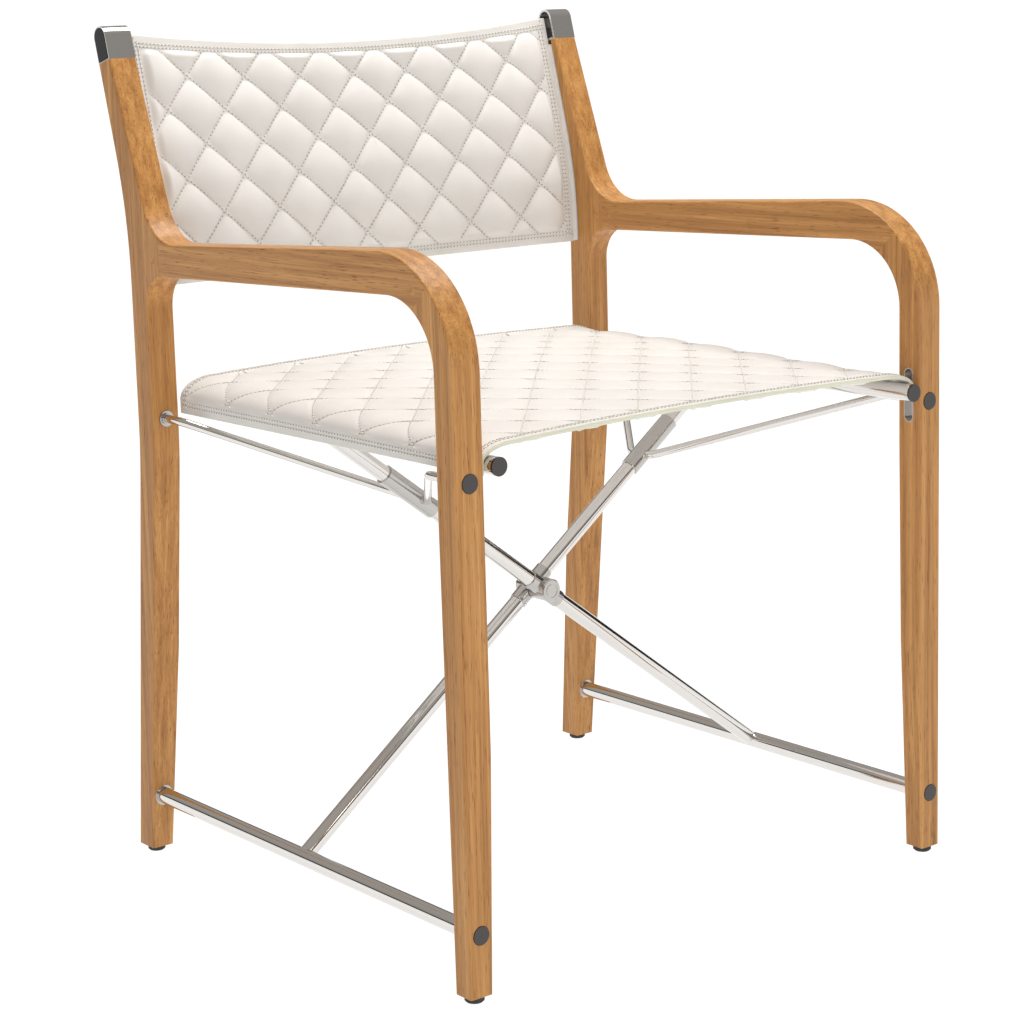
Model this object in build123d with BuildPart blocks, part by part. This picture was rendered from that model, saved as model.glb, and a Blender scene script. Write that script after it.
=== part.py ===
from build123d import *
from math import asin, atan2, cos, degrees, hypot, radians, sin, tan
import os

# Folding director's chair: two teak side frames joined by one crossed pair of stainless tubes,
# with a quilted leather sling seat and sling back. Millimetres. +Z is up, the front faces -Y,
# and the origin lies on the floor under the middle of the chair.

os.makedirs("parts", exist_ok=True)

# ---- side frames, seen from the side ----
overall_width = 570
leg_thickness = 29
foot_thickness = 23
foot_taper_top_z = 210
front_face_y = -267
front_leg_depth = 25
front_foot_depth = 21
knee_z = 400
rear_foot_back_y = 262
rear_foot_depth = 26
rear_leg_back_y = 222
rear_leg_depth = 27
hip_z = 405
lumbar_z = 626
arm_front_z = 623
arm_rear_z = 602.5
arm_front_depth = 38.5
arm_rear_depth = 29.5
bend_outer_radius = 95
bend_inner_radius = 60
post_root_radius = 50
arm_pit_radius = 33
leg_sweep_radius = 500
post_sweep_radius = 475
post_foot_y = 180.5
post_top_z = 770
post_top_front_y = 240
post_top_depth = 20.5
arm_joint_y = 170
edge_radius = 2

# ---- joinery ----
tenon_thickness = 10
tenon_height = 16
tenon_length = 18
spline_thickness = 8
spline_width = 26
spline_length = 18
dowel_diameter = 7
dowel_from_joint = 9.5

# ---- feet ----
glide_diameter = 17
glide_height = 6
glide_pin_diameter = 6
glide_pin_length = 12

# ---- post caps ----
cap_wall = 2.2
cap_straight = 23
cap_side_inset = 0.4
cap_screw_diameter = 4
cap_screw_head = 8

# ---- crossed tubes, stretchers and rails ----
tube_diameter = 16
diagonal_diameter = 15
tube_wall = 1.5
stretcher_z = 59.5
rail_from_leg = 12
rail_z = 448
rail_front_y = -272.5
rail_rear_y = 196
front_diagonal_y = -28
rear_diagonal_y = -10
boss_diameter = 22
boss_overhang = 9.5
casting_wall = 1
casting_length = 42
pivot_diameter = 8
pivot_head_thickness = 3.5
pivot_groove_radius = 6.5
pivot_groove_width = 0.8
pivot_nut_diameter = 14
pivot_washer_diameter = 20
rail_cap_thickness = 2
rail_plug_length = 8

# ---- hinges in the legs ----
hinge_z = 437
flange_diameter = 15
flange_step_diameter = 11
flange_step = 2
flange_barrel_diameter = 10
flange_barrel_length = 10
disc_diameter = 16
disc_thickness = 2.5
disc_proud = 0.6
hinge_shank_diameter = 6
bolt_shank_diameter = 8
bush_diameter = 20
bush_length = 11
stretcher_plug_length = 14
slot_width = 9.4
slot_height = 48.5
slot_depth = 6
slot_wall = 1.2
slot_z = 443

# ---- link rods and their sleeves ----
rod_diameter = 8
rod_bend_radius = 14
link_pivot_distance = 180
sleeve_diameter = 18
sleeve_length = 66
link_straight_end = 24

# ---- soft parts and their rods ----
seat_front_y = -262
seat_rear_y = 192
seat_thickness = 15
seat_crown = 7
seat_hem_drop = 15
seat_corner_radius = 15
back_bottom_z = 560
back_top_z = 792
back_thickness = 8
back_rod_diameter = 6
back_groove_diameter = 12
back_groove_depth = 3
back_groove_from_rear = 9

# ---- clearances ----
running_clearance = 0.05
head_clearance = 0.3
end_gap = 0.3
soft_gap = 0.3
washer_thickness = 1

# ---- worked out from the sizes above ----
outer_x = overall_width / 2
inner_x = outer_x - leg_thickness
rail_x = inner_x - rail_from_leg
mid_x = outer_x - leg_thickness / 2
foot_x = outer_x - foot_thickness / 2
thickness_at_stretcher = foot_thickness + (leg_thickness - foot_thickness) * (
    (stretcher_z - glide_height) / (foot_taper_top_z - glide_height)
)
stretcher_x = outer_x - thickness_at_stretcher / 2
front_foot_back_y = front_face_y + front_foot_depth
front_leg_back_y = front_face_y + front_leg_depth
rear_leg_front_y = rear_leg_back_y - rear_leg_depth
rear_foot_front_y = rear_foot_back_y - rear_foot_depth
tube_radius = tube_diameter / 2
diagonal_radius = diagonal_diameter / 2
diagonal_angle = atan2(rail_z - stretcher_z, rail_x + stretcher_x)
crossing_z = stretcher_z + stretcher_x * tan(diagonal_angle)
upper_length = rail_x / cos(diagonal_angle)
lower_length = stretcher_x / cos(diagonal_angle)
link_x = link_pivot_distance * cos(diagonal_angle)
link_z = crossing_z + link_pivot_distance * sin(diagonal_angle)
link_length = hypot(mid_x - link_x, hinge_z - link_z)
bend_centre_y = front_face_y + bend_outer_radius
bend_centre_z = arm_front_z - bend_outer_radius
arm_joint_z = arm_rear_z - arm_rear_depth / 2


def front_leg_back_at(z):
    """Y of the front leg's rear face at height z, below the knee or above it."""
    share = min(1, (z - glide_height) / (knee_z - glide_height))
    return front_foot_back_y + (front_leg_back_y - front_foot_back_y) * share


def rear_leg_front_at(z):
    """Y of the rear leg's front face at height z, below the arm."""
    share = min(1, (z - glide_height) / (hip_z - glide_height))
    return rear_foot_front_y + (rear_leg_front_y - rear_foot_front_y) * share


def rear_leg_back_at(z):
    """Y of the rear leg's rear face at height z, below the arm."""
    share = min(1, (z - glide_height) / (hip_z - glide_height))
    return rear_foot_back_y + (rear_leg_back_y - rear_foot_back_y) * share


# The top of the post is cut square to the post, which leans back.
post_lean = atan2(
    post_top_front_y + post_top_depth / 2 - (rear_leg_back_y - post_top_depth / 2),
    post_top_z - lumbar_z,
)
post_top_front = Vector(post_top_front_y, post_top_z + post_top_depth / 2 * sin(post_lean))
post_top_rear = Vector(
    post_top_front.X + post_top_depth * cos(post_lean),
    post_top_front.Y - post_top_depth * sin(post_lean),
)

# Side outline of a whole frame, in Y and Z: leg, arm and post as one closed line with its
# corners rounded afterwards.
with BuildSketch() as side_outline:
    with BuildLine():
        Polyline(
            (front_face_y, glide_height),
            (front_face_y, arm_front_z),
            (post_foot_y, arm_rear_z),
            (post_top_front.X, post_top_front.Y),
            (post_top_rear.X, post_top_rear.Y),
            (rear_leg_back_y, lumbar_z),
            (rear_leg_back_y, hip_z),
            (rear_foot_back_y, glide_height),
            (rear_foot_front_y, glide_height),
            (rear_leg_front_y, hip_z),
            (rear_leg_front_y, arm_rear_z - arm_rear_depth),
            (front_leg_back_y, arm_front_z - arm_front_depth),
            (front_leg_back_y, knee_z),
            (front_foot_back_y, glide_height),
            close=True,
        )
    make_face()

    def corner(y, z):
        """The outline's vertex at y, z."""
        return side_outline.vertices().sort_by_distance((y, z, 0))[0]

    fillet(corner(front_face_y, arm_front_z), bend_outer_radius)
    fillet(corner(front_leg_back_y, arm_front_z - arm_front_depth), bend_inner_radius)
    fillet(corner(post_foot_y, arm_rear_z), post_root_radius)
    fillet(corner(rear_leg_front_y, arm_rear_z - arm_rear_depth), arm_pit_radius)
    fillet(corner(rear_leg_back_y, lumbar_z), post_sweep_radius)
    fillet(corner(rear_leg_back_y, hip_z), leg_sweep_radius)
    fillet(corner(rear_leg_front_y, hip_z), leg_sweep_radius)

# The bend is mitred on a line at 45 degrees through its centre, and the arm butts on the post.
far = 1000
mitre_y = bend_centre_y
mitre_z = bend_centre_z
leg_region = [
    (mitre_y, mitre_z),
    (mitre_y - far, mitre_z + far),
    (mitre_y - far, -far),
    (mitre_y, -far),
]
arm_region = [
    (mitre_y, mitre_z),
    (mitre_y - far, mitre_z + far),
    (arm_joint_y, mitre_z + far),
    (arm_joint_y, mitre_z),
]
post_region = [
    (arm_joint_y, -far),
    (arm_joint_y + far, -far),
    (arm_joint_y + far, far),
    (arm_joint_y, far),
]
mitre_mid_radius = bend_outer_radius - arm_front_depth * 0.4
mitre_mid_y = mitre_y - mitre_mid_radius * cos(radians(45))
mitre_mid_z = mitre_z + mitre_mid_radius * sin(radians(45))


def is_long_edge(edge, region_line):
    """True for an edge that a hand touches: on a side face, and on none of the cut ends."""
    middle = edge.center()
    (y1, z1), (y2, z2) = region_line
    across = (middle.Y - y1) * (z2 - z1) - (middle.Z - z1) * (y2 - y1)
    on_joint = abs(across) / hypot(y2 - y1, z2 - z1) < 0.01
    return not on_joint


def side_edges(part, *joint_lines):
    """Edges round the two side faces of a frame member, without those on its glued ends."""
    edges = ShapeList()
    for face in part.faces().filter_by(lambda f: abs(f.normal_at().X) > 0.9):
        for edge in face.edges():
            if edge.center().Z < glide_height + 0.01:
                continue
            if abs(edge.tangent_at(0.5).X) > 0.01:
                continue
            if all(is_long_edge(edge, line) for line in joint_lines):
                edges.append(edge)
    return edges


mitre_line = ((mitre_y, mitre_z), (mitre_y - far, mitre_z + far))
butt_line = ((arm_joint_y, 0), (arm_joint_y, far))
post_top_line = ((post_top_front.X, post_top_front.Y), (post_top_rear.X, post_top_rear.Y))

# Path of the back's side rod and of its groove: it follows the post's rear face.
groove_y = rear_leg_back_y - back_groove_from_rear
groove_top_y = post_top_rear.X - back_groove_from_rear / cos(post_lean)
groove_slope = (groove_top_y - groove_y) / (post_top_rear.Y - lumbar_z)


def rod_path(x, bottom_z, top_z):
    """The line of a back rod: upright at the bottom, then leaning back with the post."""
    top_y = groove_y + groove_slope * (top_z - lumbar_z)
    return FilletPolyline(
        (x, groove_y, bottom_z),
        (x, groove_y, lumbar_z),
        (x, top_y, top_z),
        radius=post_sweep_radius,
    )


def rod_solid(x, bottom_z, top_z, diameter):
    """A round bar along rod_path."""
    with BuildPart() as rod:
        with BuildLine():
            rod_path(x, bottom_z, top_z)
        with BuildSketch(Plane((x, groove_y, bottom_z), z_dir=(0, 0, 1))):
            Circle(diameter / 2)
        sweep()
    return rod.part


# Dowels pin the arm's tenon in the post and the spline in the mitred bend.
dowel_places = [
    (arm_joint_y - dowel_from_joint, arm_joint_z + 1.5),
    (arm_joint_y + dowel_from_joint, arm_joint_z + 1),
    (mitre_mid_y + dowel_from_joint, mitre_mid_z + dowel_from_joint / 2),
]

for side, hand in (("left", -1), ("right", 1)):
    side_plane = Plane.YZ.offset(hand * inner_x)
    mid_plane = Plane.YZ.offset(hand * mid_x)

    # ---- front leg, with the lower half of the bend ----
    with BuildPart() as front_leg:
        with BuildSketch(side_plane):
            add(side_outline.sketch)
            with BuildLine():
                Polyline(*leg_region, close=True)
            make_face(mode=Mode.INTERSECT)
        extrude(amount=hand * leg_thickness)
        with BuildSketch(Plane.XZ):
            with BuildLine():
                Polyline(
                    (hand * inner_x, foot_taper_top_z),
                    (hand * inner_x, glide_height),
                    (hand * (outer_x - foot_thickness), glide_height),
                    close=True,
                )
            make_face()
        extrude(amount=far, both=True, mode=Mode.SUBTRACT)
        fillet(side_edges(front_leg, mitre_line), edge_radius)
        # stretcher: head recess, shank hole and bush hole
        with Locations(Plane((hand * stretcher_x, front_face_y, stretcher_z), z_dir=(0, 1, 0))):
            Cylinder(
                disc_diameter / 2 + head_clearance,
                disc_thickness - disc_proud,
                align=(Align.CENTER, Align.CENTER, Align.MIN),
                mode=Mode.SUBTRACT,
            )
            Cylinder(
                bolt_shank_diameter / 2 + head_clearance,
                far,
                mode=Mode.SUBTRACT,
            )
        bush_front_y = front_leg_back_at(stretcher_z)
        with Locations(Plane((hand * stretcher_x, bush_front_y, stretcher_z), z_dir=(0, -1, 0))):
            Cylinder(bush_diameter / 2, 2 * bush_length, mode=Mode.SUBTRACT)
        # upper hinge: head recess, shank hole and barrel hole
        with Locations(Plane((hand * mid_x, front_face_y, hinge_z), z_dir=(0, 1, 0))):
            Cylinder(
                disc_diameter / 2 + head_clearance,
                disc_thickness - disc_proud,
                align=(Align.CENTER, Align.CENTER, Align.MIN),
                mode=Mode.SUBTRACT,
            )
            Cylinder(hinge_shank_diameter / 2 + running_clearance, far, mode=Mode.SUBTRACT)
        with Locations(Plane((hand * mid_x, front_leg_back_y, hinge_z), z_dir=(0, -1, 0))):
            Cylinder(
                flange_barrel_diameter / 2 + running_clearance,
                2 * flange_barrel_length,
                mode=Mode.SUBTRACT,
            )
        # slot cup recess in the inner face
        with BuildSketch(side_plane):
            with Locations(((front_face_y + front_leg_back_y) / 2, slot_z)):
                SlotOverall(slot_height + 2 * slot_wall, slot_width + 2 * slot_wall, rotation=90)
        extrude(amount=hand * slot_depth, mode=Mode.SUBTRACT)
        with Locations((hand * foot_x, front_face_y + front_foot_depth / 2, glide_height)):
            Cylinder(glide_pin_diameter / 2, 2 * glide_pin_length, mode=Mode.SUBTRACT)
        # half of the spline's slot
        with Locations(
            Location((hand * mid_x, mitre_mid_y, mitre_mid_z), (45, 0, 0)),
        ):
            Box(spline_thickness, spline_width, spline_length, mode=Mode.SUBTRACT)
        with Locations(mid_plane):
            with Locations(dowel_places[2]):
                Cylinder(dowel_diameter / 2, far, mode=Mode.SUBTRACT)
    front_leg.part.label = f"{side}_front_leg"
    export_step(front_leg.part, f"parts/{side}_front_leg.step")

    # ---- arm, with the upper half of the bend ----
    with BuildPart() as arm:
        with BuildSketch(side_plane):
            add(side_outline.sketch)
            with BuildLine():
                Polyline(*arm_region, close=True)
            make_face(mode=Mode.INTERSECT)
        extrude(amount=hand * leg_thickness)
        fillet(side_edges(arm, mitre_line, butt_line), edge_radius)
        with Locations((hand * mid_x, arm_joint_y, arm_joint_z)):
            Box(
                tenon_thickness,
                tenon_length,
                tenon_height,
                align=(Align.CENTER, Align.MIN, Align.CENTER),
            )
        with Locations(Location((hand * mid_x, mitre_mid_y, mitre_mid_z), (45, 0, 0))):
            Box(spline_thickness, spline_width, spline_length, mode=Mode.SUBTRACT)
        with Locations(mid_plane):
            with Locations(dowel_places):
                Cylinder(dowel_diameter / 2, far, mode=Mode.SUBTRACT)
    arm.part.label = f"{side}_arm"
    export_step(arm.part, f"parts/{side}_arm.step")

    # ---- rear leg and back post in one length ----
    with BuildPart() as rear_post:
        with BuildSketch(side_plane):
            add(side_outline.sketch)
            with BuildLine():
                Polyline(*post_region, close=True)
            make_face(mode=Mode.INTERSECT)
        extrude(amount=hand * leg_thickness)
        with BuildSketch(Plane.XZ):
            with BuildLine():
                Polyline(
                    (hand * inner_x, foot_taper_top_z),
                    (hand * inner_x, glide_height),
                    (hand * (outer_x - foot_thickness), glide_height),
                    close=True,
                )
            make_face()
        extrude(amount=far, both=True, mode=Mode.SUBTRACT)
        fillet(side_edges(rear_post, butt_line, post_top_line), edge_radius)
        with Locations((hand * mid_x, arm_joint_y, arm_joint_z)):
            Box(
                tenon_thickness,
                tenon_length,
                tenon_height,
                align=(Align.CENTER, Align.MIN, Align.CENTER),
                mode=Mode.SUBTRACT,
            )
        with Locations(mid_plane):
            with Locations(dowel_places[1]):
                Cylinder(dowel_diameter / 2, far, mode=Mode.SUBTRACT)
        groove_x = hand * (inner_x + back_groove_depth)
        add(
            rod_solid(groove_x, back_bottom_z, post_top_z + 40, back_groove_diameter),
            mode=Mode.SUBTRACT,
        )
        rear_face_y = rear_leg_back_at(stretcher_z)
        with Locations(Plane((hand * stretcher_x, rear_face_y, stretcher_z), z_dir=(0, -1, 0))):
            Cylinder(
                disc_diameter / 2 + head_clearance,
                2 * (disc_thickness - disc_proud),
                mode=Mode.SUBTRACT,
            )
            Cylinder(bolt_shank_diameter / 2 + head_clearance, far, mode=Mode.SUBTRACT)
        bush_rear_y = rear_leg_front_at(stretcher_z)
        with Locations(Plane((hand * stretcher_x, bush_rear_y, stretcher_z), z_dir=(0, 1, 0))):
            Cylinder(bush_diameter / 2, 2 * bush_length, mode=Mode.SUBTRACT)
        with Locations(Plane((hand * mid_x, rear_leg_back_y, hinge_z), z_dir=(0, -1, 0))):
            Cylinder(
                disc_diameter / 2 + head_clearance,
                2 * (disc_thickness - disc_proud),
                mode=Mode.SUBTRACT,
            )
            Cylinder(hinge_shank_diameter / 2 + running_clearance, far, mode=Mode.SUBTRACT)
        with Locations(Plane((hand * mid_x, rear_leg_front_y, hinge_z), z_dir=(0, 1, 0))):
            Cylinder(
                flange_barrel_diameter / 2 + running_clearance,
                2 * flange_barrel_length,
                mode=Mode.SUBTRACT,
            )
        with Locations((hand * foot_x, rear_foot_back_y - rear_foot_depth / 2, glide_height)):
            Cylinder(glide_pin_diameter / 2, 2 * glide_pin_length, mode=Mode.SUBTRACT)
    rear_post.part.label = f"{side}_rear_post"
    export_step(rear_post.part, f"parts/{side}_rear_post.step")

    # ---- spline in the mitred bend, cut flush with its curves ----
    with BuildPart() as bend_spline:
        with Locations(Location((hand * mid_x, mitre_mid_y, mitre_mid_z), (45, 0, 0))):
            Box(spline_thickness, spline_width, spline_length)
        with Locations(mid_plane):
            with Locations(dowel_places[2]):
                Cylinder(dowel_diameter / 2, far, mode=Mode.SUBTRACT)
    bend_spline.part.label = f"{side}_bend_spline"
    export_step(bend_spline.part, f"parts/{side}_bend_spline.step")

    # ---- the three dowels, flush with both faces ----
    with BuildPart() as dowels:
        with Locations(mid_plane):
            with Locations(dowel_places):
                Cylinder(dowel_diameter / 2, leg_thickness)
    dowels.part.label = f"{side}_dowels"
    export_step(dowels.part, f"parts/{side}_dowels.step")

    # ---- rubber glides with their pins ----
    with BuildPart() as glides:
        with Locations(
            (hand * foot_x, front_face_y + front_foot_depth / 2, 0),
            (hand * foot_x, rear_foot_back_y - rear_foot_depth / 2, 0),
        ):
            Cylinder(
                glide_diameter / 2,
                glide_height,
                align=(Align.CENTER, Align.CENTER, Align.MIN),
            )
            Cylinder(
                glide_pin_diameter / 2,
                glide_height + glide_pin_length,
                align=(Align.CENTER, Align.CENTER, Align.MIN),
            )
        chamfer(glides.edges().group_by(Axis.Z)[0], glide_height / 4)
    glides.part.label = f"{side}_glides"
    export_step(glides.part, f"parts/{side}_glides.step")

    # ---- metal cap over the end of the post ----
    cap_plane = Plane(
        (
            hand * mid_x,
            (post_top_front.X + post_top_rear.X) / 2,
            (post_top_front.Y + post_top_rear.Y) / 2,
        ),
        x_dir=(1, 0, 0),
        z_dir=(0, sin(post_lean), cos(post_lean)),
    )
    cap_half_width = leg_thickness / 2 - cap_side_inset
    with BuildPart() as post_cap:
        with BuildSketch(Plane(cap_plane.origin, x_dir=cap_plane.y_dir, z_dir=(1, 0, 0))):
            with Locations((0, cap_straight / 2)):
                Rectangle(post_top_depth, cap_straight)
            with Locations((0, cap_straight)):
                Circle(post_top_depth / 2)
        extrude(amount=cap_half_width, both=True)
        with BuildSketch(
            Plane(cap_plane.origin, x_dir=cap_plane.y_dir, z_dir=(1, 0, 0)).offset(-hand * cap_wall)
        ):
            with Locations((0, (cap_straight + cap_wall) / 2)):
                Rectangle(post_top_depth - 2 * cap_wall, cap_straight - cap_wall)
            with Locations((0, cap_straight)):
                Circle(post_top_depth / 2 - cap_wall)
        extrude(
            amount=cap_half_width,
            both=True,
            mode=Mode.SUBTRACT,
        )
        with Locations(cap_plane):
            Cylinder(cap_screw_diameter / 2, 4 * cap_wall, mode=Mode.SUBTRACT)
    post_cap.part.label = f"{side}_post_cap"
    export_step(post_cap.part, f"parts/{side}_post_cap.step")

    # ---- screw that holds the cap down into the end of the post ----
    with BuildPart() as cap_screw:
        with Locations(cap_plane.offset(cap_wall)):
            Cylinder(
                cap_screw_head / 2,
                cap_screw_diameter / 2,
                align=(Align.CENTER, Align.CENTER, Align.MIN),
            )
            Cylinder(
                cap_screw_diameter / 2,
                cap_wall,
                align=(Align.CENTER, Align.CENTER, Align.MAX),
            )
    cap_screw.part.label = f"{side}_cap_screw"
    export_step(cap_screw.part, f"parts/{side}_cap_screw.step")

    # ---- metal-lined slot in the inner face of the front leg ----
    with BuildPart() as slot_cup:
        with BuildSketch(side_plane):
            with Locations(((front_face_y + front_leg_back_y) / 2, slot_z)):
                SlotOverall(slot_height + 2 * slot_wall, slot_width + 2 * slot_wall, rotation=90)
        extrude(amount=hand * slot_depth)
        with BuildSketch(side_plane):
            with Locations(((front_face_y + front_leg_back_y) / 2, slot_z)):
                SlotOverall(slot_height, slot_width, rotation=90)
        extrude(amount=hand * (slot_depth - slot_wall), mode=Mode.SUBTRACT)
    slot_cup.part.label = f"{side}_slot_cup"
    export_step(slot_cup.part, f"parts/{side}_slot_cup.step")

    # ---- stepped flanges that take the ends of the link rods ----
    with BuildPart() as link_flanges:
        for face_y, toward in ((front_leg_back_y, 1), (rear_leg_front_y, -1)):
            with Locations(Plane((hand * mid_x, face_y, hinge_z), z_dir=(0, toward, 0))):
                Cylinder(
                    flange_diameter / 2,
                    flange_step,
                    align=(Align.CENTER, Align.CENTER, Align.MIN),
                )
                Cylinder(
                    flange_step_diameter / 2,
                    2 * flange_step,
                    align=(Align.CENTER, Align.CENTER, Align.MIN),
                )
                Cylinder(
                    flange_barrel_diameter / 2,
                    flange_barrel_length,
                    align=(Align.CENTER, Align.CENTER, Align.MAX),
                )
                Cylinder(
                    hinge_shank_diameter / 2,
                    flange_barrel_length,
                    align=(Align.CENTER, Align.CENTER, Align.MAX),
                    mode=Mode.SUBTRACT,
                )
    link_flanges.part.label = f"{side}_link_flanges"
    export_step(link_flanges.part, f"parts/{side}_link_flanges.step")

    # ---- polished screws through the legs into those flanges ----
    with BuildPart() as hinge_screws:
        for face_y, toward in ((front_face_y, -1), (rear_leg_back_y, 1)):
            with Locations(Plane((hand * mid_x, face_y, hinge_z), z_dir=(0, toward, 0))):
                Cylinder(
                    hinge_shank_diameter / 2,
                    front_leg_depth - flange_barrel_length / 4,
                    align=(Align.CENTER, Align.CENTER, Align.MAX),
                )
            head_plane = Plane(
                (hand * mid_x, face_y - toward * (disc_thickness - disc_proud), hinge_z),
                z_dir=(0, toward, 0),
            )
            with Locations(head_plane):
                Cylinder(
                    disc_diameter / 2,
                    disc_thickness,
                    align=(Align.CENTER, Align.CENTER, Align.MIN),
                )
    hinge_screws.part.label = f"{side}_hinge_screws"
    export_step(hinge_screws.part, f"parts/{side}_hinge_screws.step")

    # ---- bushes in which the lower stretcher turns ----
    tube_front_y = front_leg_back_at(stretcher_z) - bush_length
    tube_rear_y = rear_leg_front_at(stretcher_z) + bush_length
    with BuildPart() as stretcher_bushes:
        for face_y, toward in ((tube_front_y, 1), (tube_rear_y, -1)):
            with Locations(Plane((hand * stretcher_x, face_y, stretcher_z), z_dir=(0, toward, 0))):
                Cylinder(
                    bush_diameter / 2,
                    bush_length,
                    align=(Align.CENTER, Align.CENTER, Align.MIN),
                )
                Cylinder(
                    tube_radius + running_clearance,
                    bush_length,
                    align=(Align.CENTER, Align.CENTER, Align.MIN),
                    mode=Mode.SUBTRACT,
                )
    stretcher_bushes.part.label = f"{side}_stretcher_bushes"
    export_step(stretcher_bushes.part, f"parts/{side}_stretcher_bushes.step")

    # ---- lower stretcher ----
    tube_length = tube_rear_y - tube_front_y - 2 * end_gap
    tube_middle_y = (tube_rear_y + tube_front_y) / 2
    with BuildPart() as stretcher:
        with Locations(Plane((hand * stretcher_x, tube_middle_y, stretcher_z), z_dir=(0, 1, 0))):
            Cylinder(tube_radius, tube_length)
            Cylinder(tube_radius - tube_wall, tube_length, mode=Mode.SUBTRACT)
    stretcher.part.label = f"{side}_stretcher"
    export_step(stretcher.part, f"parts/{side}_stretcher.step")

    # ---- threaded plugs in the ends of the stretcher ----
    with BuildPart() as stretcher_plugs:
        for face_y, toward in ((tube_front_y + end_gap, 1), (tube_rear_y - end_gap, -1)):
            with Locations(Plane((hand * stretcher_x, face_y, stretcher_z), z_dir=(0, toward, 0))):
                Cylinder(
                    tube_radius - tube_wall,
                    stretcher_plug_length,
                    align=(Align.CENTER, Align.CENTER, Align.MIN),
                )
                Cylinder(
                    bolt_shank_diameter / 2,
                    stretcher_plug_length,
                    align=(Align.CENTER, Align.CENTER, Align.MIN),
                    mode=Mode.SUBTRACT,
                )
    stretcher_plugs.part.label = f"{side}_stretcher_plugs"
    export_step(stretcher_plugs.part, f"parts/{side}_stretcher_plugs.step")

    # ---- bolts with polished disc heads through the feet into the plugs ----
    with BuildPart() as stretcher_bolts:
        for face_y, plug_y, toward in (
            (front_face_y, tube_front_y, -1),
            (rear_leg_back_at(stretcher_z), tube_rear_y, 1),
        ):
            shank_length = abs(plug_y - face_y) + stretcher_plug_length
            with Locations(Plane((hand * stretcher_x, face_y, stretcher_z), z_dir=(0, toward, 0))):
                Cylinder(
                    bolt_shank_diameter / 2,
                    shank_length,
                    align=(Align.CENTER, Align.CENTER, Align.MAX),
                )
            head_plane = Plane(
                (hand * stretcher_x, face_y - toward * (disc_thickness - disc_proud), stretcher_z),
                z_dir=(0, toward, 0),
            )
            with Locations(head_plane):
                Cylinder(
                    disc_diameter / 2,
                    disc_thickness,
                    align=(Align.CENTER, Align.CENTER, Align.MIN),
                )
    stretcher_bolts.part.label = f"{side}_stretcher_bolts"
    export_step(stretcher_bolts.part, f"parts/{side}_stretcher_bolts.step")

    # ---- rail that carries one side of the seat ----
    rail_length = rail_rear_y - rail_front_y - 2 * rail_cap_thickness
    rail_middle_y = (rail_rear_y + rail_front_y) / 2
    with BuildPart() as seat_rail:
        with Locations(Plane((hand * rail_x, rail_middle_y, rail_z), z_dir=(0, 1, 0))):
            Cylinder(tube_radius, rail_length)
            Cylinder(tube_radius - tube_wall, rail_length, mode=Mode.SUBTRACT)
    seat_rail.part.label = f"{side}_seat_rail"
    export_step(seat_rail.part, f"parts/{side}_seat_rail.step")

    # ---- end caps of the rail ----
    with BuildPart() as rail_caps:
        for end_y, toward in ((rail_front_y, 1), (rail_rear_y, -1)):
            with Locations(Plane((hand * rail_x, end_y, rail_z), z_dir=(0, toward, 0))):
                Cylinder(
                    tube_radius,
                    rail_cap_thickness,
                    align=(Align.CENTER, Align.CENTER, Align.MIN),
                )
                Cylinder(
                    tube_radius - tube_wall,
                    rail_plug_length,
                    align=(Align.CENTER, Align.CENTER, Align.MIN),
                )
    rail_caps.part.label = f"{side}_rail_caps"
    export_step(rail_caps.part, f"parts/{side}_rail_caps.step")

    # ---- rod in the side pocket of the back ----
    rod_x = hand * (inner_x + back_groove_depth)
    rod_top_z = post_top_rear.Y - back_rod_diameter / 2
    with BuildPart() as back_rod:
        add(rod_solid(rod_x, back_bottom_z, rod_top_z, back_rod_diameter))
    back_rod.part.label = f"{side}_back_rod"
    export_step(back_rod.part, f"parts/{side}_back_rod.step")

# ---- the crossed pair: each runs from its stretcher up to the opposite rail ----
boss_front_face_y = front_diagonal_y - boss_overhang
boss_rear_face_y = rear_diagonal_y + boss_overhang
between_y = (front_diagonal_y + rear_diagonal_y) / 2
sleeve_start = link_pivot_distance - sleeve_length * 0.3

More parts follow.
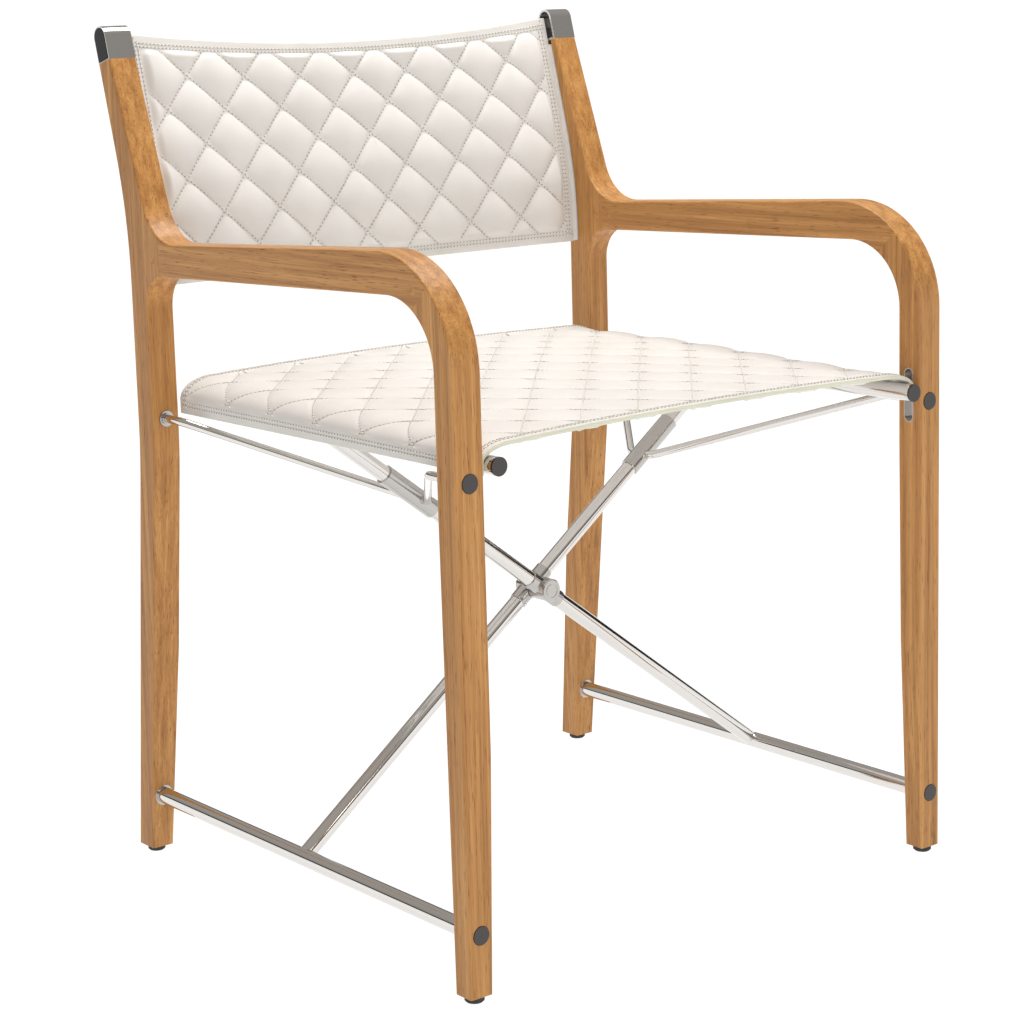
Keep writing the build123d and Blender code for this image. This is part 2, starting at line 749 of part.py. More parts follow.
for name, lower_hand, tube_y, boss_low_y, boss_high_y in (
    ("front", 1, front_diagonal_y, boss_front_face_y, between_y - washer_thickness / 2),
    ("rear", -1, rear_diagonal_y, between_y + washer_thickness / 2, boss_rear_face_y),
):
    upward = (-lower_hand * cos(diagonal_angle), 0, sin(diagonal_angle))
    centre_plane = Plane((0, tube_y, crossing_z), x_dir=(0, 1, 0), z_dir=upward)
    link_centre = (-lower_hand * link_x, tube_y, link_z)
    with BuildPart() as diagonal:
        with Locations(centre_plane.offset((upper_length - lower_length) / 2)):
            Cylinder(diagonal_radius, lower_length + upper_length)
            Cylinder(
                diagonal_radius - tube_wall,
                lower_length + upper_length,
                mode=Mode.SUBTRACT,
            )
        with Locations(
            Plane((lower_hand * stretcher_x, tube_y, stretcher_z), z_dir=(0, 1, 0)),
            Plane((-lower_hand * rail_x, tube_y, rail_z), z_dir=(0, 1, 0)),
        ):
            Cylinder(tube_radius, 4 * tube_diameter, mode=Mode.SUBTRACT)
        with Locations(Plane((0, between_y, crossing_z), z_dir=(0, 1, 0))):
            Cylinder(pivot_diameter / 2 + running_clearance, far, mode=Mode.SUBTRACT)
        with Locations(Plane(link_centre, z_dir=(0, 1, 0))):
            Cylinder(rod_diameter / 2 + running_clearance, far, mode=Mode.SUBTRACT)
    diagonal.part.label = f"{name}_diagonal"
    export_step(diagonal.part, f"parts/{name}_diagonal.step")

    # ---- cast fitting round the tube, with the boss that the pivot passes through ----
    with BuildPart() as pivot_casting:
        with Locations(centre_plane):
            Cylinder(diagonal_radius + casting_wall, casting_length)
        with Locations(Plane((0, boss_low_y, crossing_z), z_dir=(0, 1, 0))):
            Cylinder(
                boss_diameter / 2,
                boss_high_y - boss_low_y,
                align=(Align.CENTER, Align.CENTER, Align.MIN),
            )
        with Locations(centre_plane):
            Cylinder(diagonal_radius, casting_length, mode=Mode.SUBTRACT)
        with Locations(Plane((0, between_y, crossing_z), z_dir=(0, 1, 0))):
            Cylinder(pivot_diameter / 2 + running_clearance, far, mode=Mode.SUBTRACT)
    pivot_casting.part.label = f"{name}_pivot_casting"
    export_step(pivot_casting.part, f"parts/{name}_pivot_casting.step")

    # ---- sleeve on the upper half, bored for the link rod ----
    with BuildPart() as sleeve:
        with Locations(centre_plane.offset(sleeve_start)):
            Cylinder(
                sleeve_diameter / 2,
                sleeve_length,
                align=(Align.CENTER, Align.CENTER, Align.MIN),
            )
            Cylinder(
                diagonal_radius,
                sleeve_length,
                align=(Align.CENTER, Align.CENTER, Align.MIN),
                mode=Mode.SUBTRACT,
            )
        with Locations(Plane(link_centre, z_dir=(0, 1, 0))):
            Cylinder(rod_diameter / 2 + running_clearance, far, mode=Mode.SUBTRACT)
    sleeve.part.label = f"{name}_sleeve"
    export_step(sleeve.part, f"parts/{name}_sleeve.step")

    # ---- bent link rod: leg to sleeve to leg, in the slanted plane that holds both pivots ----
    link_hand = -lower_hand
    outward = (
        link_hand * (mid_x - link_x) / link_length,
        0,
        (hinge_z - link_z) / link_length,
    )
    rod_front_y = front_leg_back_y + 2 * flange_step + end_gap
    rod_rear_y = rear_leg_front_y - 2 * flange_step - end_gap
    link_plane = Plane(
        (link_centre[0], 0, link_centre[2]),
        x_dir=outward,
        z_dir=(-link_hand * outward[2], 0, link_hand * outward[0]),
    )
    to_front = link_plane.to_local_coords(Vector(link_centre[0], rod_front_y, link_centre[2])).Y
    direction = 1 if to_front < 0 else -1
    half_straight = sleeve_diameter / 2 + rod_bend_radius * 0.4
    with BuildPart() as link_rod:
        with BuildLine(link_plane):
            FilletPolyline(
                (link_length, direction * rod_front_y),
                (link_length, direction * (rod_front_y + link_straight_end)),
                (0, direction * (tube_y - half_straight)),
                (0, direction * (tube_y + half_straight)),
                (link_length, direction * (rod_rear_y - link_straight_end)),
                (link_length, direction * rod_rear_y),
                radius=rod_bend_radius,
            )
        rod_start = link_plane.from_local_coords(Vector(link_length, direction * rod_front_y, 0))
        with BuildSketch(Plane(rod_start, z_dir=(0, 1, 0))):
            Circle(rod_diameter / 2)
        sweep()
    link_rod.part.label = f"{name}_link_rod"
    export_step(link_rod.part, f"parts/{name}_link_rod.step")

# ---- pivot at the crossing ----
with BuildPart() as pivot_bolt:
    with Locations(Plane((0, boss_front_face_y, crossing_z), z_dir=(0, -1, 0))):
        Cylinder(
            boss_diameter / 2,
            pivot_head_thickness,
            align=(Align.CENTER, Align.CENTER, Align.MIN),
        )
    chamfer(pivot_bolt.edges().group_by(Axis.Y)[0], pivot_head_thickness / 3)
    with BuildSketch(Plane.XZ.offset(pivot_head_thickness - boss_front_face_y)):
        with Locations((0, crossing_z)):
            Circle(pivot_groove_radius + pivot_groove_width / 2)
            Circle(pivot_groove_radius - pivot_groove_width / 2, mode=Mode.SUBTRACT)
    extrude(amount=-pivot_groove_width / 2, mode=Mode.SUBTRACT)
    with Locations(Plane((0, boss_front_face_y, crossing_z), z_dir=(0, 1, 0))):
        Cylinder(
            pivot_diameter / 2,
            boss_rear_face_y + washer_thickness + pivot_head_thickness - boss_front_face_y,
            align=(Align.CENTER, Align.CENTER, Align.MIN),
        )
pivot_bolt.part.label = "pivot_bolt"
export_step(pivot_bolt.part, "parts/pivot_bolt.step")

with BuildPart() as pivot_washers:
    for washer_y in (between_y - washer_thickness / 2, boss_rear_face_y):
        with Locations(Plane((0, washer_y, crossing_z), z_dir=(0, 1, 0))):
            Cylinder(
                pivot_washer_diameter / 2,
                washer_thickness,
                align=(Align.CENTER, Align.CENTER, Align.MIN),
            )
            Cylinder(
                pivot_diameter / 2,
                washer_thickness,
                align=(Align.CENTER, Align.CENTER, Align.MIN),
                mode=Mode.SUBTRACT,
            )
pivot_washers.part.label = "pivot_washers"
export_step(pivot_washers.part, "parts/pivot_washers.step")

with BuildPart() as pivot_nut:
    nut_plane = Plane((0, boss_rear_face_y + washer_thickness, crossing_z), z_dir=(0, 1, 0))
    with Locations(nut_plane):
        Cylinder(
            pivot_nut_diameter / 2,
            pivot_head_thickness,
            align=(Align.CENTER, Align.CENTER, Align.MIN),
        )
        Cylinder(
            pivot_diameter / 2,
            pivot_head_thickness,
            align=(Align.CENTER, Align.CENTER, Align.MIN),
            mode=Mode.SUBTRACT,
        )
pivot_nut.part.label = "pivot_nut"
export_step(pivot_nut.part, "parts/pivot_nut.step")

# ---- seat: padded leather sling laid over both rails, its hems hanging outside them ----
seat_half_width = inner_x - soft_gap
seat_under_z = rail_z + tube_radius + soft_gap
seat_side_z = seat_under_z + seat_thickness
seat_hem_z = rail_z + tube_radius - seat_hem_drop
wall_inner_x = rail_x + tube_radius + soft_gap
with BuildPart() as seat_leather:
    with BuildSketch(Plane.XZ.offset(-seat_rear_y)):
        with BuildLine():
            Polyline(
                (seat_half_width, seat_side_z),
                (seat_half_width, seat_hem_z),
                (wall_inner_x, seat_hem_z),
                (wall_inner_x, seat_under_z),
                (-wall_inner_x, seat_under_z),
                (-wall_inner_x, seat_hem_z),
                (-seat_half_width, seat_hem_z),
                (-seat_half_width, seat_side_z),
            )
            ThreePointArc(
                (-seat_half_width, seat_side_z),
                (0, seat_side_z + seat_crown),
                (seat_half_width, seat_side_z),
            )
        make_face()
        for hand in (-1, 1):
            outer_corner = (hand * seat_half_width, seat_side_z, 0)
            inner_corner = (hand * wall_inner_x, seat_under_z, 0)
            fillet(vertices().sort_by_distance(outer_corner)[0], seat_corner_radius)
            fillet(vertices().sort_by_distance(inner_corner)[0], tube_radius)
    extrude(amount=seat_rear_y - seat_front_y)
seat_leather.part.label = "seat_leather"
export_step(seat_leather.part, "parts/seat_leather.step")

# ---- back: padded leather sling between the posts, with a rod pocket along each side ----
back_half_width = inner_x - soft_gap
pocket_diameter = back_groove_diameter - 2 * soft_gap
with BuildPart() as back_leather:
    with BuildLine():
        rod_path(0, back_bottom_z, back_top_z)
    with BuildSketch(Plane((0, groove_y, back_bottom_z), z_dir=(0, 0, 1))):
        Rectangle(2 * back_half_width, back_thickness)
    sweep()
    for hand in (-1, 1):
        pocket_x = hand * (inner_x + back_groove_depth)
        add(rod_solid(pocket_x, back_bottom_z, post_top_rear.Y - soft_gap, pocket_diameter))
    for hand in (-1, 1):
        pocket_x = hand * (inner_x + back_groove_depth)
        add(
            rod_solid(
                pocket_x,
                back_bottom_z - tube_diameter,
                post_top_rear.Y + tube_diameter,
                back_rod_diameter + 2 * soft_gap,
            ),
            mode=Mode.SUBTRACT,
        )
back_leather.part.label = "back_leather"
export_step(back_leather.part, "parts/back_leather.step")
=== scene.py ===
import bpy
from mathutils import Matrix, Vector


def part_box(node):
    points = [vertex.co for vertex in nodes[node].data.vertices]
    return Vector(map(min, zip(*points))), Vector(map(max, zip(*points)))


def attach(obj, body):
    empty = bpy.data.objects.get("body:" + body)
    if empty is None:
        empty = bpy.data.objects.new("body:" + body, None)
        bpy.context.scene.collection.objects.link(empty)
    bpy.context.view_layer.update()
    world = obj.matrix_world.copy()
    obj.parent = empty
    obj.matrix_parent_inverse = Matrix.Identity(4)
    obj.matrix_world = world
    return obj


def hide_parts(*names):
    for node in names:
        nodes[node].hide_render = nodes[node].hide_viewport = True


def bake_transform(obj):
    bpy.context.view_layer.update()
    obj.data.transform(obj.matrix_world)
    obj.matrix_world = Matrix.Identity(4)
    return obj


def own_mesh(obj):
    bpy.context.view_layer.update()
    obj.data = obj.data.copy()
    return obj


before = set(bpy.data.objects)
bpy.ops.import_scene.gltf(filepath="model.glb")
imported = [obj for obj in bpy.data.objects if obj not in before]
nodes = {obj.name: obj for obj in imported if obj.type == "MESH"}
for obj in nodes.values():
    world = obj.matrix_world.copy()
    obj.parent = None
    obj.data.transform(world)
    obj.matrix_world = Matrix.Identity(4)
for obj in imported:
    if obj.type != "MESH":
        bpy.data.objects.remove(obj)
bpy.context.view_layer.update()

import math

import bpy
import numpy as np
from mathutils import Matrix, Vector

# ---- Side frames ----
# Two frames of solid teak: a front leg, an arm and a rear leg that runs up into the back post,
# glued together at a mitred bend and a tenon, sanded smooth and oiled.


def oiled_teak(name, along, shift):
    """Teak with its grain running along X, Y or Z, cut from another part of the plank by shift."""
    finish = bpy.data.materials.new(name)
    finish.use_nodes = True
    tree = finish.node_tree
    shader = tree.nodes["Principled BSDF"]
    place = tree.nodes.new("ShaderNodeTexCoord")

    def streaks(across, lengthways, detail, distortion):
        """Noise drawn out along the grain, in cycles per metre across it and along it."""
        stretch = tree.nodes.new("ShaderNodeMapping")
        stretch.inputs["Location"].default_value = shift
        stretch.inputs["Scale"].default_value = [
            lengthways if axis == along else across for axis in "XYZ"
        ]
        noise = tree.nodes.new("ShaderNodeTexNoise")
        noise.inputs["Scale"].default_value = 1.0
        noise.inputs["Detail"].default_value = detail
        noise.inputs["Distortion"].default_value = distortion
        tree.links.new(place.outputs["Object"], stretch.inputs["Vector"])
        tree.links.new(stretch.outputs["Vector"], noise.inputs["Vector"])
        return noise.outputs["Fac"]

    def tinted(fac, stops):
        """A colour ramp over fac, from (position, colour) stops."""
        ramp = tree.nodes.new("ShaderNodeValToRGB")
        ramp.color_ramp.elements[0].position = stops[0][0]
        ramp.color_ramp.elements[0].color = (*stops[0][1], 1)
        ramp.color_ramp.elements[1].position = stops[-1][0]
        ramp.color_ramp.elements[1].color = (*stops[-1][1], 1)
        for position, colour in stops[1:-1]:
            ramp.color_ramp.elements.new(position).color = (*colour, 1)
        tree.links.new(fac, ramp.inputs["Fac"])
        return ramp.outputs["Color"]

    def darkened(base, veil, amount):
        """base multiplied by veil."""
        mix = tree.nodes.new("ShaderNodeMix")
        mix.data_type = "RGBA"
        mix.blend_type = "MULTIPLY"
        mix.inputs["Factor"].default_value = amount
        tree.links.new(base, mix.inputs["A"])
        tree.links.new(veil, mix.inputs["B"])
        return mix.outputs["Result"]

    growth = streaks(150, 2.4, 5, 0.5)
    body = tinted(
        growth,
        [
            (0.24, (0.340, 0.145, 0.041)),
            (0.44, (0.495, 0.232, 0.068)),
            (0.58, (0.585, 0.290, 0.090)),
            (0.78, (0.690, 0.365, 0.125)),
        ],
    )
    fibres = tinted(streaks(900, 14, 3, 0.3), [(0.25, (0.72, 0.66, 0.60)), (0.6, (1, 1, 1))])
    pores = tinted(streaks(1100, 60, 1, 0), [(0.62, (1, 1, 1)), (0.74, (0.36, 0.25, 0.17))])
    colour = darkened(darkened(body, fibres, 0.9), pores, 0.75)
    tree.links.new(colour, shader.inputs["Base Color"])
    bump = tree.nodes.new("ShaderNodeBump")
    bump.inputs["Strength"].default_value = 0.12
    bump.inputs["Distance"].default_value = 0.0004
    tree.links.new(streaks(1100, 30, 3, 0.2), bump.inputs["Height"])
    tree.links.new(bump.outputs["Normal"], shader.inputs["Normal"])
    shader.inputs["Roughness"].default_value = 0.42
    shader.inputs["Specular IOR Level"].default_value = 0.3
    shader.inputs["Coat Weight"].default_value = 0.04
    shader.inputs["Coat Roughness"].default_value = 0.35
    return finish


def paint(node_names, finish):
    """Gives CAD nodes one finish."""
    for node_name in node_names:
        for place in nodes[node_name].material_slots:
            place.material = finish


for side, plank in (("left", 0.0), ("right", 7.3)):
    paint([f"{side}_front_leg"], oiled_teak(f"{side}_front_leg_teak", "Z", (plank, 2.1, 0.4)))
    paint([f"{side}_rear_post"], oiled_teak(f"{side}_rear_post_teak", "Z", (plank, 5.7, 1.9)))
    paint([f"{side}_arm"], oiled_teak(f"{side}_arm_teak", "Y", (plank, 0.6, 3.8)))
    paint(
        [f"{side}_dowels", f"{side}_bend_spline"],
        oiled_teak(f"{side}_dowel_teak", "X", (plank, 9.2, 5.5)),
    )

# ---- Glides ----
# Black rubber feet pressed into the ends of the legs, slightly scuffed where they slide.


def speckled(name, dark, light, scale, roughness):
    """A dull surface whose colour wanders between dark and light."""
    finish = bpy.data.materials.new(name)
    finish.use_nodes = True
    tree = finish.node_tree
    shader = tree.nodes["Principled BSDF"]
    place = tree.nodes.new("ShaderNodeTexCoord")
    noise = tree.nodes.new("ShaderNodeTexNoise")
    noise.inputs["Scale"].default_value = scale
    ramp = tree.nodes.new("ShaderNodeValToRGB")
    ramp.color_ramp.elements[0].color = (*dark, 1)
    ramp.color_ramp.elements[1].color = (*light, 1)
    tree.links.new(place.outputs["Object"], noise.inputs["Vector"])
    tree.links.new(noise.outputs["Fac"], ramp.inputs["Fac"])
    tree.links.new(ramp.outputs["Color"], shader.inputs["Base Color"])
    shader.inputs["Roughness"].default_value = roughness
    return finish


glide_rubber = speckled("glide_rubber", (0.012, 0.012, 0.012), (0.05, 0.048, 0.045), 260, 0.7)
paint(["left_glides", "right_glides"], glide_rubber)

# ---- Tubes, rods and rails ----
# Stainless tube and rod, mitred, welded and polished to a mirror, with faint polishing marks.


def steel(name, colour, roughness, marks):
    """Stainless steel; marks is how much its roughness varies from polishing or brushing."""
    finish = bpy.data.materials.new(name)
    finish.use_nodes = True
    tree = finish.node_tree
    shader = tree.nodes["Principled BSDF"]
    shader.inputs["Metallic"].default_value = 1.0
    shader.inputs["Base Color"].default_value = (*colour, 1)
    place = tree.nodes.new("ShaderNodeTexCoord")
    noise = tree.nodes.new("ShaderNodeTexNoise")
    noise.inputs["Scale"].default_value = 180
    noise.inputs["Detail"].default_value = 4
    span = tree.nodes.new("ShaderNodeMapRange")
    span.inputs["To Min"].default_value = max(0.02, roughness - marks)
    span.inputs["To Max"].default_value = roughness + marks
    tree.links.new(place.outputs["Object"], noise.inputs["Vector"])
    tree.links.new(noise.outputs["Fac"], span.inputs["Value"])
    tree.links.new(span.outputs["Result"], shader.inputs["Roughness"])
    return finish


polished_steel = steel("polished_steel", (0.74, 0.715, 0.69), 0.07, 0.03)
paint(
    [
        "front_diagonal",
        "rear_diagonal",
        "front_link_rod",
        "rear_link_rod",
        "left_stretcher",
        "right_stretcher",
        "left_seat_rail",
        "right_seat_rail",
        "left_back_rod",
        "right_back_rod",
    ],
    polished_steel,
)

# ---- Fittings ----
# Cast and turned stainless fittings with a satin finish: pivot castings, sleeves, bushes, plugs.

satin_steel = steel("satin_steel", (0.52, 0.50, 0.48), 0.17, 0.05)
fitting_names = [
    "front_pivot_casting",
    "rear_pivot_casting",
    "front_sleeve",
    "rear_sleeve",
    "pivot_bolt",
    "pivot_nut",
    "pivot_washers",
]
for side in ("left", "right"):
    fitting_names += [
        f"{side}_stretcher_bushes",
        f"{side}_stretcher_plugs",
        f"{side}_link_flanges",
        f"{side}_slot_cup",
        f"{side}_cap_screw",
    ]
paint(fitting_names, satin_steel)
cap_steel = steel("cap_steel", (0.64, 0.63, 0.62), 0.15, 0.05)
paint(["left_post_cap", "right_post_cap"], cap_steel)

# ---- Post cap sides ----
# A near-black steel patch covers the outer side of each post cap, inside the bright edge of the
# strap that goes over the top: a painted dark reflection in the cap's polished side.

cap_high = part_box("right_post_cap")[1]
cap_radius = 0.01025
cap_lean = math.radians(15.0)  # the posts' lean
strap_edge = 0.0013  # width of bright edge left round the painted reflection patch
reflection_patch_radius = cap_radius - strap_edge
reflection_patch_drop = 0.0222  # from the centre of the round top to the painted reflection patch's lower edge
reflection_patch_thickness = 0.0004
reflection_patch_sunk = 0.00005
# Painted reflection: near-black metal laid on each cap's outer side stands for the dark reflection
# its polished face shows.
black_reflection_patch = steel("black_reflection_patch", (0.018, 0.018, 0.020), 0.12, 0.04)
for side, hand in (("left", -1), ("right", 1)):
    bpy.ops.object.select_all(action="DESELECT")
    bpy.ops.mesh.primitive_circle_add(vertices=48, radius=reflection_patch_radius, fill_type="NGON")
    reflection_patch = bpy.context.object
    reflection_patch.name = f"{side}_cap_reflection_patch"
    for outline in (*reflection_patch.data.polygons, *reflection_patch.data.edges):
        outline.select = False
    for corner in reflection_patch.data.vertices:
        corner.select = corner.co.y < -reflection_patch_sunk
    bpy.ops.object.mode_set(mode="EDIT")
    bpy.context.tool_settings.mesh_select_mode = (True, False, False)
    bpy.ops.transform.resize(value=(1, 0.02, 1), center_override=(0, 0, 0))
    bpy.ops.transform.translate(value=(0, -reflection_patch_drop, 0))
    bpy.ops.mesh.select_all(action="SELECT")
    bpy.ops.mesh.extrude_region_move(
        TRANSFORM_OT_translate={"value": (0, 0, hand * reflection_patch_thickness)}
    )
    bpy.ops.mesh.select_all(action="SELECT")
    bpy.ops.mesh.normals_make_consistent(inside=False)
    bpy.ops.object.mode_set(mode="OBJECT")
    reflection_patch.matrix_world = Matrix(
        (
            (0, 0, 1, hand * (cap_high[0] - reflection_patch_sunk)),
            (math.cos(cap_lean), math.sin(cap_lean), 0, cap_high[1] - cap_radius),
            (-math.sin(cap_lean), math.cos(cap_lean), 0, cap_high[2] - cap_radius),
            (0, 0, 0, 1),
        )
    )
    bpy.ops.object.transform_apply(location=True, rotation=True, scale=True)
    reflection_patch.data.materials.append(black_reflection_patch)
    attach(reflection_patch, f"{side}_frame")

# ---- Screw heads and rail caps ----
# Flat turned discs, painted darker than the tubes: their near-black base colour is a painted
# reflection of the room their polished faces look into.

# Painted reflection: the near-black base colour stands for the dark room mirrored in the discs.
dark_steel = steel("dark_steel", (0.085, 0.080, 0.078), 0.16, 0.05)
for side in ("left", "right"):
    paint(
        [f"{side}_hinge_screws", f"{side}_stretcher_bolts", f"{side}_rail_caps"],
        dark_steel,
    )

# ---- Seat ----
# A sling of white leather over thin padding, quilted in diamonds and sewn into one panel, laid
# over the two rails, with plain hems hanging outside them.

seat_low, seat_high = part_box("seat_leather")
half_width = seat_high[0] - 0.0002  # just clear of the legs
front_y, rear_y = seat_low[1], seat_high[1]
hem_z = seat_low[2]
top_front_z = seat_high[2] - 0.0085
top_rear_z = seat_high[2] - 0.0005
rear_slope = 1.6  # how soon the top reaches its full height, going back
top_crown = 0.004  # the middle above the sides
shoulder = 0.034  # how far in from the side the top starts to round
shoulder_arc = 0.044  # length of leather in the rounding
shoulder_share = 0.62  # share of the side's height that the rounding takes
seat_wall = 0.0115  # length of leather below the rounding
seat_reach = half_width - shoulder + shoulder_arc + seat_wall
seat_diamond = (0.0645, 0.0702)
seat_phase = 0.39
seat_puff = 0.0030
stitch_valley = 0.055  # how wide the quilt's valleys are pulled flat by the thread
side_hem_width = 0.012
end_hem_width = 0.010
hem_ramp = 0.004
wall_flattening = 0.45  # the share of the puff lost where the side hangs down
edge_thickness = 0.0036
padding = 0.0055
padding_ramp = 0.04
edge_bulge = 0.0009


def diamond_lines(u, v, diamond, phase):
    """The two families of quilting lines: each runs where its value is a whole number."""
    return v / diamond[1] - u / diamond[0] + phase, v / diamond[1] + u / diamond[0] + phase


def puffed(a, b):
    """0 in a narrow valley along a quilting line, rising steeply to 1 in a diamond's middle."""
    swell = np.abs(np.sin(np.pi * a)) * np.abs(np.sin(np.pi * b))
    return (np.clip(swell - stitch_valley, 0, None) / (1 - stitch_valley)) ** 0.5


def seat_skin(s, y, puff):
    """Points and outward normals of the seat's upper skin, s measured across it from the middle."""
    along = (y - front_y) / (rear_y - front_y)
    climb = (top_rear_z - top_front_z) * np.clip(along * rear_slope, 0, 1)
    side_z = top_front_z - top_crown + climb
    flat_half = half_width - shoulder
    fall = (side_z - hem_z) * shoulder_share
    beyond = np.abs(s) - flat_half
    turn = np.clip(beyond, 0, shoulder_arc) / shoulder_arc * math.pi / 2
    drop = np.clip((beyond - shoulder_arc) / seat_wall, 0, 1)
    hand = np.sign(s)
    x = np.clip(np.abs(s), 0, flat_half) + shoulder * np.sin(turn)
    z = side_z - fall * (1 - np.cos(turn)) - drop * (side_z - fall - hem_z)
    share = np.clip(np.abs(s), 0, flat_half) / flat_half
    z = z + top_crown * (1 - share**2)
    normal = np.stack([hand * np.sin(turn), np.zeros_like(s), np.cos(turn)], -1)
    a, b = diamond_lines(s, y, seat_diamond, seat_phase)
    hem_fade = np.clip((seat_reach - np.abs(s) - side_hem_width) / hem_ramp, 0, 1)
    end_fade = np.clip((y - front_y - end_hem_width) / hem_ramp, 0, 1)
    end_fade = end_fade * np.clip((rear_y - end_hem_width - y) / hem_ramp, 0, 1)
    rise = puff * (puffed(a, b) - 1) * hem_fade * end_fade
    wall = np.clip(turn / (math.pi / 2), 0, 1)
    rise = rise * (1 - wall_flattening * wall)
    points = np.stack([hand * x, y, z], -1) + normal * rise[..., None]
    return points, normal


across = np.linspace(-seat_reach, seat_reach, 271)
lengthways = np.linspace(front_y, rear_y, 231)
grid_s, grid_y = np.meshgrid(across, lengthways, indexing="ij")
skin, skin_normal = seat_skin(grid_s, grid_y, seat_puff)
turned = np.abs(skin_normal[..., 0])
padded_ends = np.clip((grid_y - front_y) / padding_ramp, 0, 1)
padded_ends = padded_ends * np.clip((rear_y - grid_y) / padding_ramp, 0, 1)
thickness = edge_thickness + padding * (1 - turned) * padded_ends
lining = skin - skin_normal * thickness[..., None]


def finished_piece(name, points, faces):
    """A mesh object with its normals outward and its curved faces shaded smooth."""
    mesh = bpy.data.meshes.new(name)
    mesh.from_pydata(points.tolist(), [], faces)
    mesh.update()
    piece = bpy.data.objects.new(name, mesh)
    bpy.context.collection.objects.link(piece)
    bpy.ops.object.select_all(action="DESELECT")
    piece.select_set(True)
    bpy.context.view_layer.objects.active = piece
    bpy.ops.object.mode_set(mode="EDIT")
    bpy.ops.mesh.select_all(action="SELECT")
    bpy.ops.mesh.normals_make_consistent(inside=False)
    bpy.ops.object.mode_set(mode="OBJECT")
    bpy.ops.object.shade_smooth_by_angle(angle=math.radians(50))
    return piece


def closed_sheet(name, outer, inner):
    """A closed sheet between two grids of points, its four edges rounded a little."""
    rows, columns = outer.shape[:2]
    count = rows * columns
    index = np.arange(count).reshape(rows, columns)
    quads = np.stack(
        [index[:-1, :-1], index[1:, :-1], index[1:, 1:], index[:-1, 1:]], -1
    ).reshape(-1, 4)
    loop = [*index[:-1, 0], *index[-1, :-1], *index[:0:-1, -1], *index[0, :0:-1]]
    flat_outer = outer.reshape(-1, 3)
    flat_inner = inner.reshape(-1, 3)
    place = np.array(loop)
    beside = index[
        np.clip(place // columns, 1, rows - 2), np.clip(place % columns, 1, columns - 2)
    ]
    outward = flat_outer[loop] - flat_outer[beside]
    outward /= np.linalg.norm(outward, axis=1)[:, None]
    middle = (flat_outer[loop] + flat_inner[loop]) / 2 + outward * edge_bulge
    points = np.concatenate([flat_outer, flat_inner, middle])
    faces = [tuple(q) for q in quads] + [tuple(q[::-1] + count) for q in quads]
    edge_faces = []
    for i, corner in enumerate(loop):
        after = loop[(i + 1) % len(loop)]
        here, there = 2 * count + i, 2 * count + (i + 1) % len(loop)
        edge_faces.append((corner, here, there, after))
        edge_faces.append((here, corner + count, after + count, there))
    return finished_piece(name, points, faces + edge_faces), len(faces)


def quilted_leather(name, colour):
    """White leather: a fine pebbled grain, soft creases and faint tone changes."""
    finish = bpy.data.materials.new(name)
    finish.use_nodes = True
    tree = finish.node_tree
    shader = tree.nodes["Principled BSDF"]
    place = tree.nodes.new("ShaderNodeTexCoord")
    tone = tree.nodes.new("ShaderNodeTexNoise")
    tone.inputs["Scale"].default_value = 22
    tone.inputs["Detail"].default_value = 5
    ramp = tree.nodes.new("ShaderNodeValToRGB")
    ramp.color_ramp.elements[0].position = 0.3
    ramp.color_ramp.elements[0].color = (*[c * 0.93 for c in colour], 1)
    ramp.color_ramp.elements[1].position = 0.7
    ramp.color_ramp.elements[1].color = (*colour, 1)
    pebble = tree.nodes.new("ShaderNodeTexVoronoi")
    pebble.inputs["Scale"].default_value = 950
    crease = tree.nodes.new("ShaderNodeTexNoise")
    crease.inputs["Scale"].default_value = 140
    crease.inputs["Detail"].default_value = 6
    grain = tree.nodes.new("ShaderNodeMath")
    grain.operation = "MULTIPLY_ADD"
    grain.inputs[1].default_value = 0.35
    bump = tree.nodes.new("ShaderNodeBump")
    bump.inputs["Strength"].default_value = 0.25
    bump.inputs["Distance"].default_value = 0.0006
    for noise in (tone, pebble, crease):
        tree.links.new(place.outputs["Object"], noise.inputs["Vector"])
    tree.links.new(tone.outputs["Fac"], ramp.inputs["Fac"])
    tree.links.new(ramp.outputs["Color"], shader.inputs["Base Color"])
    tree.links.new(pebble.outputs["Distance"], grain.inputs[0])
    tree.links.new(crease.outputs["Fac"], grain.inputs[2])
    tree.links.new(grain.outputs["Value"], bump.inputs["Height"])
    tree.links.new(bump.outputs["Normal"], shader.inputs["Normal"])
    shader.inputs["Roughness"].default_value = 0.5
    shader.inputs["Specular IOR Level"].default_value = 0.35
    shader.inputs["Sheen Weight"].default_value = 0.08
    return finish


white_leather = quilted_leather("white_leather", (0.785, 0.758, 0.722))
cut_edge = quilted_leather("cut_edge", (0.70, 0.70, 0.56))

seat, skin_faces = closed_sheet("seat_sling", skin, lining)
seat.data.materials.append(white_leather)
seat.data.materials.append(cut_edge)
for face in list(seat.data.polygons)[skin_faces:]:
    face.material_index = 1
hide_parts("seat_leather")

# ---- Seat stitching ----
# White thread in lock stitches about 4 mm long, pulled into the leather at each needle hole,
# along every quilting line and in two rows round the panel.

thread = speckled("thread", (0.70, 0.67, 0.62), (0.94, 0.93, 0.90), 2400, 0.6)
# Painted shade: the needle holes are dark warm grey, standing for the shadow where the thread pulls
# the leather in.
needle_hole_shade = speckled("needle_hole_shade", (0.32, 0.295, 0.265), (0.50, 0.465, 0.42), 900, 0.9)

stitch_pitch = 0.0042
stitch_length = 0.0028
stitch_radius = 0.0006
stitch_lift = 0.0003
needle_shade_radius = 0.0008
row_ends = 0.004  # the hem rows stop this far from the panel's corners
hem_rows = (0.0060, 0.0095)  # from the edge to each of the seat's two rows


